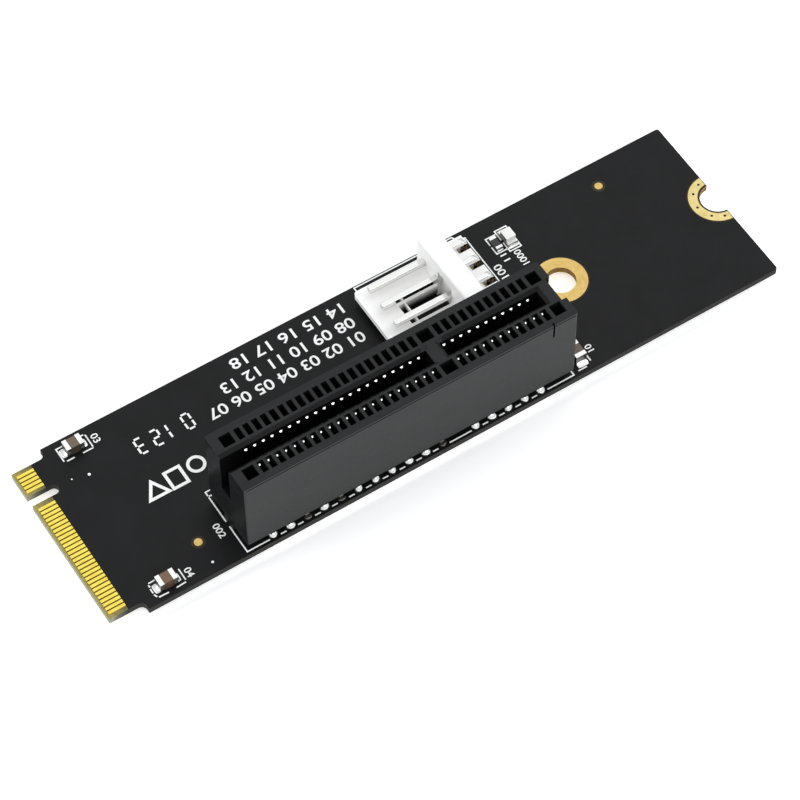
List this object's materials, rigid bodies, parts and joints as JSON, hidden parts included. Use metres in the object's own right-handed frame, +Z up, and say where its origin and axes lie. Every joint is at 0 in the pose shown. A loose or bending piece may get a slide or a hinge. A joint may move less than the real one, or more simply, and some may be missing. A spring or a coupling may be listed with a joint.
{
  "type": "gumstick ssd to pcie riser card",
  "caption": "Slim black circuit board with a keyed card-edge tongue, an open-ended expansion slot, a right-angle power header and chip parts, adapting a drive socket to an add-in card.",
  "frame": {"origin": "middle of the card-edge tip on the board's top face", "axes": "+X along the board from the card-edge tip to the end notch, +Y across the board towards the power header, +Z up out of the board's top face"},
  "size_m": [0.08, 0.022, 0.0131],
  "materials": {
    "board_mask": "satin black solder mask on glass-epoxy laminate",
    "gold_plating": "flat gold plating",
    "slot_plastic": "fine-grained moulded thermoplastic",
    "contact_metal": "plated spring alloy strip",
    "header_plastic": "moulded white nylon",
    "tinned_pin": "bright tin on square wire",
    "capacitor_ceramic": "fired brown ceramic",
    "tin_terminal": "matt tin",
    "chip_white": "white ceramic",
    "resistor_black": "black glaze",
    "diode_lens": "milky clear resin"
  },
  "bodies": {
    "root": {"circuit_board": "board_mask", "edge_contacts_top_long": "gold_plating", "edge_contacts_top_short": "gold_plating", "edge_contacts_bottom_long": "gold_plating", "edge_contacts_bottom_short": "gold_plating", "screw_hole_pad_top": "gold_plating", "screw_hole_pad_bottom": "gold_plating", "end_notch_pad_top": "gold_plating", "end_notch_pad_bottom": "gold_plating", "fiducial_marks": "gold_plating", "slot_housing": "slot_plastic", "slot_contacts_front_outer_long": "contact_metal", "slot_contacts_front_outer_short": "contact_metal", "slot_contacts_front_inner_long": "contact_metal", "slot_contacts_front_inner_short": "contact_metal", "slot_contacts_rear_outer_long": "contact_metal", "slot_contacts_rear_outer_short": "contact_metal", "slot_contacts_rear_inner_long": "contact_metal", "slot_contacts_rear_inner_short": "contact_metal", "power_header_housing": "header_plastic", "power_header_pins": "tinned_pin", "power_pin_pads": "gold_plating", "rear_capacitor_ceramic": "capacitor_ceramic", "rear_capacitor_terminals": "tin_terminal", "front_capacitor_ceramic": "capacitor_ceramic", "front_capacitor_terminals": "tin_terminal", "slot_capacitor_ceramic": "capacitor_ceramic", "slot_capacitor_terminals": "tin_terminal", "resistor_substrate": "chip_white", "resistor_coat": "resistor_black", "resistor_terminals": "tin_terminal", "diode_base": "chip_white", "diode_lens": "diode_lens", "diode_terminals": "tin_terminal"}
  },
  "joints": []
}
